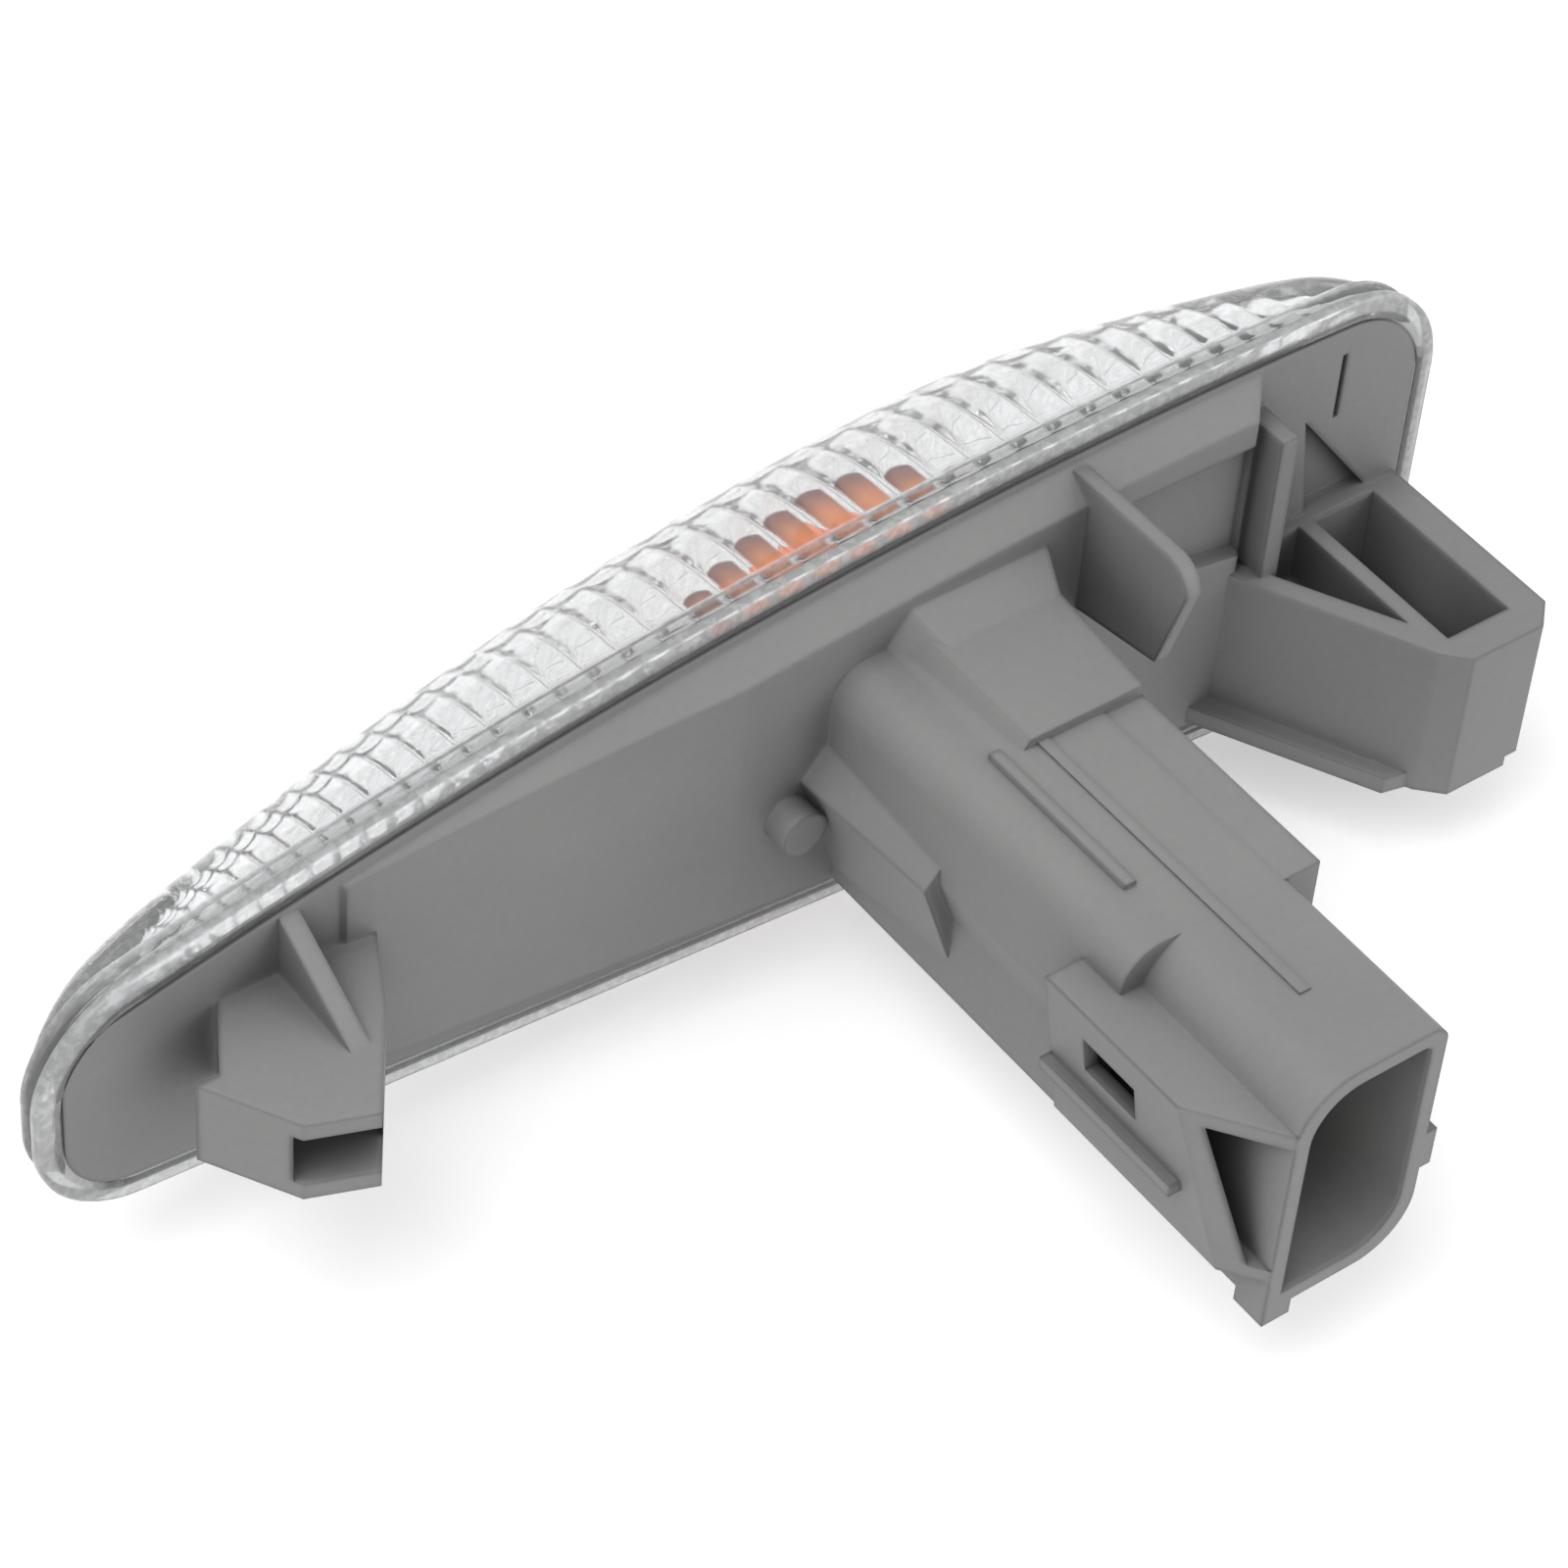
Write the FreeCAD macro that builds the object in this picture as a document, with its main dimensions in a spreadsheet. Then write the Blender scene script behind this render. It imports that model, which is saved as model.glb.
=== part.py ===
"""Side indicator lamp of a car: moulded housing with connector, fluted lens, wedge bulb and terminals.

Frame: millimetres, +Z up, +X along the lamp to its narrow nose, +Y out of the back.
The origin is on the connector stem's axis, in the plane where the lens rim seats on the panel (Y = 0).
"""
import FreeCAD, Part
import Sketcher
import math
import os
import re

Vector = FreeCAD.Vector

# Driving dimensions, in millimetres unless the name ends in angle or count.
DIMENSIONS = {
    # outline of the housing flange, seen from behind
    "nose_x": 71.3, "tail_x": -54.0, "nose_top": 5.6, "nose_low": -9.8, "tail_top": 19.0, "tail_low": -20.3,
    "top_round": 410.0, "nose_round": 6.0, "tail_round": 8.0, "flange_thick": 2.0,
    # shallow pan raised on the back of the flange, and the bowl inside it
    "pan_nose_x": 48.0, "pan_tail_x": -37.0, "pan_high": 2.6, "pan_step": 1.6, "pan_top_step": 0.1,
    "pan_nose_step": 4.4, "pan_draft_angle": 40.0, "pan_ramp_x": 14.0, "pan_lip": 0.3, "bowl_inset": 3.3,
    "bowl_deep": 1.5, "wall": 2.0,
    # lens: rim round the flange, domed wall and the flutes inside it
    "rim_wide": 2.2, "rim_thick": 3.0, "foot_step": 1.2, "lens_wall": 2.0, "lens_deep": 19.4,
    "lens_deep_x": -14.7, "lens_fall_nose": 109.0, "lens_fall_tail": 54.0, "lens_end_round": 12.2,
    "lens_end_step": 0.5, "flute_pitch": 3.4, "flute_high": 0.7, "flute_back": 0.5, "fit": 0.05,
    # stem: root block on the pan, body, connector shroud
    "root_left": 8.4, "root_right": -13.0, "root_top": 13.0, "root_low": -13.2, "root_cut_x": -1.0,
    "root_cut_z": 1.0, "root_slope": 5.0, "root_long": 17.0, "root_draft_angle": 3.0,
    "flare_wide": 2.2, "flare_side": 0.5, "flare_high": 7.6, "flare_angle": 22.0,
    "body_left": 6.0, "body_right": -12.2, "body_top": 11.0, "body_low": -10.6, "body_slope": 4.4,
    "body_end": 37.5,
    "shroud_left": 4.2, "shroud_right": -9.4, "shroud_top": 11.3, "shroud_low": -11.8, "shroud_end": 55.0,
    "shroud_round": 5.0, "shroud_edge": 1.6, "shroud_wall": 1.4, "cavity_end": 33.0, "stem_round": 1.6,
    # latch chamber on the shroud's side, open at the front, with its window
    "latch_left": 9.4, "latch_top": 7.4, "latch_low": -8.4, "latch_start": 33.0, "latch_back": 36.0,
    "latch_wall": 1.3, "latch_lean": 2.8, "latch_slant": 7.0, "window_start": 37.2, "window_end": 43.0,
    "window_low": 0.6, "window_top": 4.2, "rail_high": 1.1, "rail_deep": 2.2, "rail_z": -1.6,
    # raised guide ribs on top of the stem, lug and tab at the mouth
    "guide_high": 0.5, "guide_wide": 1.0, "guide_x": -2.6, "guide_start": 16.0, "guide_end": 47.0,
    "guide_two_x": 1.2, "guide_two_end": 32.0, "lug_wide": 2.6, "lug_high": 1.5, "lug_long": 3.2,
    "tab_high": 3.8, "tab_wide": 1.0, "tab_long": 1.8, "tab_z": -2.4,
    # bracket with the hook at the wide end
    "hook_top": 0.8, "hook_low": -14.2, "hook_end": 20.6, "hook_wall": 3.4, "hook_web": 1.5,
    "hook_root_x": -32.4, "hook_slot_wide": 6.4, "hook_slot_end": 17.6, "hook_slot_deep": 12.6,
    "hook_recess_deep": 5.5, "hook_ledge": 2.4, "hook_ledge_high": 1.6, "hook_block_wide": 9.6,
    "hook_corner": 2.0, "hook_edge": 0.3, "hook_cut_wide": 1.2, "hook_cut_high": 1.0, "scoop_deep": 1.2,
    "scoop_top": 11.0,
    # clip pocket near the nose, its gusset, and small features of the pan
    "clip_top": 4.0, "clip_high": 7.8, "clip_wall": 1.5, "clip_x": 44.4, "clip_root": 13.4,
    "clip_lean": 8.6, "clip_reach": 15.4, "clip_shoulder": 6.1, "clip_ear": 2.0, "gusset_x": 52.4,
    "gusset_thick": 1.7, "gusset_high": 5.6, "gusset_long": 9.5,
    "fin_x": -18.6, "fin_thick": 1.4, "fin_long": 14.4, "fin_top": 18.2, "fin_low": 5.0,
    "fin_round": 2.4, "fin_tip_round": 2.64, "rib_thick": 1.7, "rib_high": 4.2, "field_left": -20.6,
    "field_right": -35.2, "field_top": 14.2, "field_low": 2.6, "field_round": 24.0, "field_deep": 1.4,
    "slit_x": -45.9, "slit_wide": 0.5, "slit_low": 10.1, "slit_top": 16.6, "slit_deep": 1.0,
    "peg_x": 9.4, "peg_z": -2.1, "peg_round": 2.0, "peg_high": 2.6,
    # wedge bulb and its socket: its axis lies beside and above the origin, and it stands out of the socket
    "bulb_x": -2.6, "bulb_z": 4.5, "bulb_out": 4.0, "bulb_round": 5.1, "bulb_tip": 11.4,
    "bulb_tip_wide": 3.2, "bulb_tip_rise": 1.2, "bulb_shoulder": 5.0, "bulb_neck": 6.6,
    "bulb_neck_wide": 3.6, "bulb_neck_long": 3.0, "glass_wall": 0.5, "base_wide": 8.6, "base_thick": 2.2,
    "base_end": 15.2, "chamber_round": 6.4, "chamber_end": 8.0, "socket_wide": 9.2, "socket_high": 7.0,
    "socket_end": 17.0, "lead_round": 0.25, "lead_gap": 5.0, "filament_round": 0.32, "filament_y": -3.4,
    "lead_fold": 5.6,
    # contact terminals
    "blade_wide": 2.3, "blade_thick": 0.6, "blade_gap": 5.0, "blade_tip": 46.0, "contact_start": 8.6,
    "contact_end": 14.4, "jog_end": 16.2, "tip_bevel": 1.4,
    # how far a cutting shape reaches past the surface that it opens
    "overcut": 1.0,
}

# Shape of the lens: squareness of its section, fall from its crown, facets outside and on the flutes.
SECTION_POWER = 2 / 2.7
CROWN_POWER = 1.75
OUTER_STEPS = 20
OUTER_STATIONS = 25
INNER_STEPS = 10

doc = FreeCAD.newDocument("side_indicator_lamp")
sheet = doc.addObject("Spreadsheet::Sheet", "Dims")
for row, (alias, size) in enumerate(DIMENSIONS.items(), start=1):
    sheet.set("A%d" % row, alias)
    sheet.set("B%d" % row, str(size))
    sheet.setAlias("B%d" % row, alias)
doc.recompute()

ALIASES = re.compile(r"\b(" + "|".join(DIMENSIONS) + r")\b")


def cells(expression):
    """The expression with each dimension's name pointed at its cell."""
    return ALIASES.sub(r"Dims.\1", expression)


def size(expression):
    """The value of an expression on the sheet's dimensions."""
    return float(sheet.evalExpression(cells(expression)))


def sketch(body, name, plane, offset, loops):
    """A constrained sketch: each corner is (x, y) in expressions, and (x, y, radius) starts an arc."""
    planes = {feature.Role: feature for feature in body.Origin.OriginFeatures}
    drawing = body.newObject("Sketcher::SketchObject", name)
    drawing.AttachmentSupport = [(planes[plane], "")]
    drawing.MapMode = "FlatFace"
    drawing.setExpression("AttachmentOffset.Base.z", cells(offset))
    for loop in loops:
        corners = [Vector(size(corner[0]), size(corner[1]), 0) for corner in loop]
        sides = []
        for index, corner in enumerate(loop):
            start, end = corners[index], corners[(index + 1) % len(loop)]
            if len(corner) == 3:
                sides.append(add_arc(drawing, start, end, corner[2]))
            else:
                sides.append((drawing.addGeometry(Part.LineSegment(start, end), False), 1, 2))
        for index, corner in enumerate(loop):
            side, first, last = sides[index]
            following, following_first, _ = sides[(index + 1) % len(loop)]
            drawing.addConstraint(Sketcher.Constraint("Coincident", side, last, following, following_first))
            for kind, text in zip(("DistanceX", "DistanceY"), corner):
                bind(drawing, Sketcher.Constraint(kind, -1, 1, side, first, size(text)), text)
    return drawing


def add_arc(drawing, start, end, radius):
    """An arc that bulges to the right of its chord, with its radius bound; gives its id and its two ends."""
    chord = end - start
    reach = size(radius)
    sag = reach - math.sqrt(reach ** 2 - chord.Length ** 2 / 4)
    right = Vector(chord.y, -chord.x, 0).normalize()
    side = drawing.addGeometry(Part.Arc(start, (start + end) * 0.5 + right * sag, end), False)
    bind(drawing, Sketcher.Constraint("Radius", side, reach), radius)
    turned = (drawing.Geometry[side].StartPoint - start).Length > 1e-6
    return (side, 2, 1) if turned else (side, 1, 2)


def bind(drawing, constraint, text):
    """Add a constraint whose value follows the sheet."""
    index = drawing.addConstraint(constraint)
    drawing.setExpression("Constraints[%d]" % index, cells(text))


def circle(body, name, plane, offset, x, y, radius):
    """A sketch of one circle."""
    drawing = sketch(body, name, plane, offset, [])
    ring = Part.Circle(Vector(size(x), size(y), 0), Vector(0, 0, 1), size(radius))
    side = drawing.addGeometry(ring, False)
    bind(drawing, Sketcher.Constraint("Radius", side, size(radius)), radius)
    bind(drawing, Sketcher.Constraint("DistanceX", -1, 1, side, 3, size(x)), x)
    bind(drawing, Sketcher.Constraint("DistanceY", -1, 1, side, 3, size(y)), y)
    return drawing


def pad(body, name, drawing, length, reverse=False, draft=None):
    """Extrude a sketch into the body."""
    feature = body.newObject("PartDesign::Pad", name)
    feature.Profile = drawing
    feature.setExpression("Length", cells(length))
    feature.Reversed = reverse
    if draft:
        feature.setExpression("TaperAngle", cells(draft))
    doc.recompute()
    return feature


def pocket(body, name, drawing, length, reverse=False):
    """Cut a sketch out of the body, and make sure that it took something away."""
    before = body.Shape.Volume
    feature = body.newObject("PartDesign::Pocket", name)
    feature.Profile = drawing
    feature.setExpression("Length", cells(length))
    feature.Reversed = reverse
    doc.recompute()
    if body.Shape.Volume > before - 1e-3:
        raise RuntimeError(name + " cuts nothing")
    return feature


def fillet(body, name, radius, chosen):
    """Round the edges of the body's last feature that the test picks."""
    base = body.Tip
    edges = ["Edge%d" % number for number, edge in enumerate(base.Shape.Edges, start=1) if chosen(edge)]
    feature = body.newObject("PartDesign::Fillet", name)
    feature.Base = (base, edges)
    feature.setExpression("Radius", cells(radius))
    doc.recompute()
    return feature


def along(edge, axis):
    """True for a straight edge parallel to an axis."""
    if edge.Curve.TypeId != "Part::GeomLine":
        return False
    return abs(abs(edge.tangentAt(edge.FirstParameter).dot(axis)) - 1) < 1e-6


def rectangle(left, low, right, top):
    """A loop of four corners from its sides' places."""
    return [(left, low), (right, low), (right, top), (left, top)]


def flange_outline(grow):
    """The lamp's outline from behind, moved outwards: bowed top edge, straight ends and base."""
    return [
        ("nose_x + (%s)" % grow, "nose_low - (%s)" % grow),
        ("nose_x + (%s)" % grow, "nose_top + (%s)" % grow, "top_round + (%s)" % grow),
        ("tail_x - (%s)" % grow, "tail_top + (%s)" % grow),
        ("tail_x - (%s)" % grow, "tail_low - (%s)" % grow),
    ]


def outline_plate(body, name, front, depth, grow):
    """A plate of the lamp's outline with its four corners rounded, from the depth in front backwards."""
    drawing = sketch(body, name + "_outline", "XZ_Plane", front, [flange_outline(grow)])
    plate = pad(body, name, drawing, depth, True)
    middle = size("(nose_x + tail_x) / 2")
    y_axis = Vector(0, 1, 0)
    fillet(body, name + "_nose", "nose_round + (%s)" % grow,
           lambda edge: along(edge, y_axis) and edge.CenterOfMass.x > middle)
    fillet(body, name + "_tail", "tail_round + (%s)" % grow,
           lambda edge: along(edge, y_axis) and edge.CenterOfMass.x < middle)
    return plate


def pan_outline(inset):
    """The raised pan: it follows the flange's edges, steps back more at the nose, and has straight ends."""
    top = "tail_top - pan_top_step - (%s)" % inset
    slope = "(tail_low - nose_low) / (nose_x - tail_x)"
    return [
        ("pan_nose_x - (%s)" % inset,
         "nose_low + pan_step + (nose_x - pan_nose_x) * %s + (%s)" % (slope, inset)),
        ("pan_nose_x - (%s)" % inset, "nose_top + pan_nose_step - (%s)" % inset, "top_round - (%s)" % inset),
        ("pan_tail_x + (%s)" % inset, top),
        ("pan_tail_x + (%s)" % inset,
         "tail_low + pan_step - (pan_tail_x - tail_x) * %s + (%s)" % (slope, inset)),
    ]


def build_housing():
    """The grey moulding: flange, pan, stem with connector, hook bracket, clip pocket and small ribs."""
    body = doc.addObject("PartDesign::Body", "housing")
    outline_plate(body, "flange", "flange_thick", "flange_thick", "0")
    pad(body, "pan", sketch(body, "pan_sketch", "XZ_Plane", "0", [pan_outline("0")]), "pan_high", True,
        "-pan_draft_angle")
    ramp = [("pan_nose_x + overcut", "pan_lip"), ("pan_nose_x + overcut", "pan_high + overcut"),
            ("pan_ramp_x", "pan_high + overcut"), ("pan_ramp_x", "pan_high")]
    pocket(body, "pan_ramp", sketch(body, "pan_ramp_sketch", "XY_Plane", "tail_top", [ramp]),
           "tail_top - tail_low")
    build_stem(body)
    build_hook(body)
    build_clip(body)
    build_pan_details(body)
    bowl = sketch(body, "bowl_sketch", "XZ_Plane", "flange_thick", [pan_outline("bowl_inset")])
    pocket(body, "bowl", bowl, "bowl_deep")
    build_socket(body)
    return body


def build_stem(body):
    """The stem: a tapered root, the body, the connector shroud, the latch chamber and the guide ribs."""
    root = [("root_right", "root_low"), ("root_left - root_slope", "root_low"), ("root_left", "root_cut_z"),
            ("root_cut_x", "root_top"), ("root_right", "root_top")]
    pad(body, "root", sketch(body, "root_sketch", "XZ_Plane", "0", [root]), "root_long", True,
        "-root_draft_angle")
    flare = [("root_right - flare_wide", "root_low - flare_side"),
             ("root_left - root_slope", "root_low - flare_side"),
             ("root_left + flare_side", "root_cut_z"), ("root_cut_x + flare_side", "root_top + flare_wide"),
             ("root_right - flare_wide", "root_top + flare_wide")]
    pad(body, "root_flare", sketch(body, "flare_sketch", "XZ_Plane", "0", [flare]), "flare_high", True,
        "-flare_angle")
    block = [("body_right", "body_low"), ("body_left - body_slope", "body_low"), ("body_left", "root_cut_z"),
             ("body_left", "body_top - stem_round * 2", "stem_round * 2"),
             ("body_left - stem_round * 2", "body_top"), ("body_right", "body_top")]
    pad(body, "stem_body", sketch(body, "stem_sketch", "XZ_Plane", "0", [block]), "body_end", True)
    shroud = shroud_loop("0")
    pad(body, "shroud", sketch(body, "shroud_sketch", "XZ_Plane", "0", [shroud]), "shroud_end", True)
    latch = [("shroud_left - shroud_wall", "latch_low"), ("latch_left - latch_lean", "latch_low"),
             ("latch_left", "latch_top"), ("shroud_left - shroud_wall", "latch_top")]
    pad(body, "latch_box", sketch(body, "latch_sketch", "XZ_Plane", "-latch_start", [latch]),
        "shroud_end - latch_start", True)
    guides = [rectangle("guide_x - guide_wide / 2", "guide_start", "guide_x + guide_wide / 2", "guide_end"),
              rectangle("guide_two_x - guide_wide / 2", "guide_start", "guide_two_x + guide_wide / 2",
                        "guide_two_end")]
    pad(body, "guides", sketch(body, "guide_sketch", "XY_Plane", "body_top - shroud_wall", guides),
        "guide_high + shroud_wall")
    lug = rectangle("shroud_left - lug_wide", "shroud_end - lug_long", "shroud_left", "shroud_end")
    pad(body, "lug", sketch(body, "lug_sketch", "XY_Plane", "shroud_low - lug_high", [lug]),
        "lug_high + shroud_wall")
    tab = rectangle("shroud_right - tab_wide", "shroud_end - tab_long", "shroud_right + shroud_wall / 2",
                    "shroud_end")
    pad(body, "tab", sketch(body, "tab_sketch", "XY_Plane", "tab_z - tab_high / 2", [tab]), "tab_high")
    cavity = sketch(body, "cavity_sketch", "XZ_Plane", "-shroud_end", [shroud_loop("shroud_wall")])
    pocket(body, "cavity", cavity, "shroud_end - cavity_end", True)
    chamber = [("shroud_left", "latch_low + latch_wall"),
               ("latch_left - latch_lean - latch_wall", "latch_low + latch_wall"),
               ("latch_left - latch_wall", "latch_top - latch_wall"),
               ("shroud_left", "latch_top - latch_wall")]
    pocket(body, "latch_chamber", sketch(body, "chamber_sketch", "XZ_Plane", "-shroud_end", [chamber]),
           "shroud_end - latch_back", True)
    slant = [("shroud_left", "shroud_end + overcut"), ("shroud_left", "shroud_end"),
             ("latch_left", "shroud_end - latch_slant"),
             ("latch_left + overcut", "shroud_end - latch_slant"),
             ("latch_left + overcut", "shroud_end + overcut")]
    pocket(body, "latch_slant_cut", sketch(body, "slant_sketch", "XY_Plane", "latch_top + overcut", [slant]),
           "latch_top - latch_low + 2 * overcut")
    window = rectangle("window_start", "window_low", "window_end", "window_top")
    pocket(body, "window", sketch(body, "window_sketch", "YZ_Plane", "latch_left + overcut", [window]),
           "latch_wall + latch_lean + overcut")
    rail = rectangle("latch_start", "rail_z - rail_high", "shroud_end - latch_slant", "rail_z")
    pad(body, "latch_rail", sketch(body, "rail_sketch", "YZ_Plane", "latch_left - latch_lean", [rail]),
        "rail_deep")


def shroud_loop(inset):
    """The connector's section: square at the latch, round at the upper and lower outer corners."""
    left, right = "shroud_left - (%s)" % inset, "shroud_right + (%s)" % inset
    low, top = "shroud_low + (%s)" % inset, "shroud_top - (%s)" % inset
    turn, edge = "shroud_round - (%s) / 2" % inset, "(shroud_edge - (%s) / 2)" % inset
    return [
        (right + " + " + turn, low), (left, low), (left, "%s - (%s)" % (top, turn), turn),
        ("%s - (%s)" % (left, turn), top), (right + " + " + edge, top, edge), (right, top + " - " + edge),
        (right, "%s + %s" % (low, turn), turn),
    ]


def build_hook(body):
    """The hook bracket: two walls that meet in an end block, with a deep slot and a shallow recess."""
    root, foot = "-flange_thick / 2", "hook_low + hook_cut_high"
    for name, outer, low, top in (("hook_block", "tail_x + hook_edge", foot, "hook_top"),
                                  ("hook_foot", "tail_x + hook_edge + hook_cut_wide", "hook_low", foot)):
        block = [(outer, root), ("hook_root_x", root),
                 ("tail_x + hook_block_wide + hook_corner", "hook_slot_end + hook_corner / 2"),
                 ("tail_x + hook_block_wide", "hook_end"), (outer + " + hook_corner", "hook_end"),
                 (outer, "hook_end - hook_corner")]
        pad(body, name, sketch(body, name + "_sketch", "XY_Plane", low, [block]), "%s - (%s)" % (top, low))
    ledge = [("tail_x + hook_block_wide", root), ("hook_root_x + hook_ledge", root),
             ("tail_x + hook_block_wide + hook_ledge + hook_corner", "hook_slot_end"),
             ("tail_x + hook_block_wide", "hook_end - hook_corner")]
    pad(body, "hook_ledge_pad", sketch(body, "ledge_sketch", "XY_Plane", "hook_low", [ledge]),
        "hook_ledge_high")
    inner = "tail_x + hook_wall"
    slot = rectangle(inner, "scoop_deep", inner + " + hook_slot_wide", "hook_slot_end")
    pocket(body, "hook_slot", sketch(body, "hook_slot_sketch", "XY_Plane", "hook_top", [slot]),
           "hook_slot_deep")
    web = inner + " + hook_slot_wide + hook_web"
    recess = [(web, "scoop_deep"), ("hook_root_x - hook_web * 2", "scoop_deep"),
              (web, "hook_slot_end - hook_web * 2")]
    pocket(body, "hook_recess", sketch(body, "hook_recess_sketch", "XY_Plane", "hook_top", [recess]),
           "hook_recess_deep")
    scoop = [(inner, "hook_top"), (inner + " + hook_slot_wide", "hook_top"),
             (inner + " + hook_slot_wide + hook_web", "scoop_top")]
    pocket(body, "hook_scoop", sketch(body, "hook_scoop_sketch", "XZ_Plane", "0", [scoop]), "scoop_deep",
           True)


def build_clip(body):
    """The clip pocket near the nose: a box that leans to the nose, open at its end, with a gusset on top."""
    loop = [("clip_x", "-flange_thick / 2"), ("clip_x + clip_root", "-flange_thick / 2"),
            ("clip_x + clip_root + clip_lean / 2", "clip_shoulder"),
            ("clip_x + clip_root + clip_lean / 2 + clip_ear", "clip_shoulder"),
            ("clip_x + clip_root + clip_ear", "clip_reach - clip_ear"),
            ("clip_x + clip_lean + clip_wall", "clip_reach"),
            ("clip_x + clip_lean / 2", "clip_shoulder + overcut")]
    pad(body, "clip_box", sketch(body, "clip_sketch", "XY_Plane", "clip_top - clip_high", [loop]),
        "clip_high")
    hole = [("clip_x + clip_lean / 2 + clip_wall", "clip_shoulder"),
            ("clip_x + clip_root", "clip_shoulder - clip_wall"),
            ("clip_x + clip_root + clip_ear", "clip_reach - clip_ear * 2"),
            ("clip_x + clip_root + clip_ear + clip_wall", "clip_reach + overcut"),
            ("clip_x + clip_lean", "clip_reach + overcut"), ("clip_x + clip_lean", "clip_reach - clip_wall")]
    opening = sketch(body, "clip_pocket_sketch", "XY_Plane", "clip_top - clip_wall", [hole])
    pocket(body, "clip_pocket", opening, "clip_high - 2 * clip_wall")
    gusset = [("-flange_thick / 2", "clip_top"), ("gusset_long", "clip_top"),
              ("0", "clip_top + gusset_high"), ("-flange_thick / 2", "clip_top + gusset_high")]
    pad(body, "gusset", sketch(body, "gusset_sketch", "YZ_Plane", "gusset_x - gusset_thick / 2", [gusset]),
        "gusset_thick")


def build_pan_details(body):
    """The sunken field and the slit, the guide fin by the stem, the rib that ends the pan, and the peg."""
    field = [("field_right", "field_low"), ("field_left - wall * 2", "field_low + wall", "field_round"),
             ("field_left", "field_top - wall"), ("field_left - wall", "field_top"),
             ("field_right", "field_top")]
    pocket(body, "field", sketch(body, "field_sketch", "XZ_Plane", "-pan_high", [field]), "field_deep", True)
    slit = rectangle("slit_x - slit_wide / 2", "slit_low", "slit_x + slit_wide / 2", "slit_top")
    pocket(body, "slit", sketch(body, "slit_sketch", "XZ_Plane", "0", [slit]), "slit_deep", True)
    fin = [("-flange_thick / 2", "fin_low"), ("fin_long - fin_round", "fin_low + fin_round"),
           ("fin_long", "fin_top - fin_round", "fin_tip_round"), ("fin_long - fin_round", "fin_top"),
           ("-flange_thick / 2", "fin_top")]
    pad(body, "fin", sketch(body, "fin_sketch", "YZ_Plane", "fin_x - fin_thick / 2", [fin]), "fin_thick")
    rib = rectangle("pan_tail_x - rib_thick / 2", "hook_top - wall", "pan_tail_x + rib_thick / 2",
                    "tail_top - wall * 2")
    pad(body, "pan_rib", sketch(body, "rib_sketch", "XZ_Plane", "flange_thick / 2", [rib]),
        "rib_high + flange_thick / 2", True)
    pad(body, "peg", circle(body, "peg_sketch", "XZ_Plane", "0", "peg_x", "peg_z", "peg_round"),
        "pan_high + peg_high", True)


def build_socket(body):
    """The bulb chamber in the stem's root, the wedge socket behind it and the two terminal slots."""
    hole = circle(body, "bulb_hole", "XZ_Plane", "flange_thick", "bulb_x", "bulb_z", "chamber_round")
    pocket(body, "chamber", hole, "flange_thick + chamber_end - bulb_out")
    wedge = rectangle("bulb_x - socket_wide / 2", "bulb_z - socket_high / 2", "bulb_x + socket_wide / 2",
                      "bulb_z + socket_high / 2")
    pocket(body, "socket", sketch(body, "socket_sketch", "XZ_Plane", "0", [wedge]), "socket_end - bulb_out")
    slots = [rectangle("bulb_x - blade_wide / 2 - fit", side + " - blade_thick / 2 - fit",
                       "bulb_x + blade_wide / 2 + fit", side + " + blade_thick / 2 + fit")
             for side in ("bulb_z + blade_gap / 2", "bulb_z - blade_gap / 2")]
    pocket(body, "terminal_slots", sketch(body, "terminal_slot_sketch", "XZ_Plane", "0", slots),
           "cavity_end + overcut")


def corner_drop(reach, radius):
    """How far a rounded corner falls from its straight edge, at a distance from the corner's end."""
    if reach >= radius:
        return 0.0
    return radius - math.sqrt(max(radius ** 2 - (radius - reach) ** 2, 0.0))


def outline_heights(x, grow):
    """The top and bottom of the lamp's outline at a place along it, moved outwards by an amount."""
    nose, tail = size("nose_x") + grow, size("tail_x") - grow
    nose_top, tail_top = size("nose_top") + grow, size("tail_top") + grow
    radius = size("top_round") + grow
    chord = Vector(tail - nose, tail_top - nose_top, 0)
    right = Vector(chord.y, -chord.x, 0).normalize()
    centre = Vector((nose + tail) / 2, (nose_top + tail_top) / 2, 0)
    centre -= right * math.sqrt(radius ** 2 - chord.Length ** 2 / 4)
    top = centre.y + math.sqrt(radius ** 2 - (x - centre.x) ** 2)
    low = size("nose_low") - grow + (nose - x) / (nose - tail) * (size("tail_low") - size("nose_low"))
    drop = max(corner_drop(nose - x, size("nose_round") + grow),
               corner_drop(x - tail, size("tail_round") + grow))
    return top - drop, low + drop


def dome_depth(x, grow):
    """How far the dome stands in front of the seat plane: it falls from its crown and has round ends."""
    ends = min(size("nose_x") + grow - x, x - size("tail_x") + grow) / size("lens_end_round")
    rounding = math.sqrt(1 - (1 - min(ends, 1.0)) ** 2)
    away = x - size("lens_deep_x")
    fall = size("lens_fall_nose") if away > 0 else size("lens_fall_tail")
    depth = size("lens_deep") * (1 - abs(away / fall) ** CROWN_POWER)
    return size("rim_thick") + (depth - size("rim_thick")) * rounding


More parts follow.
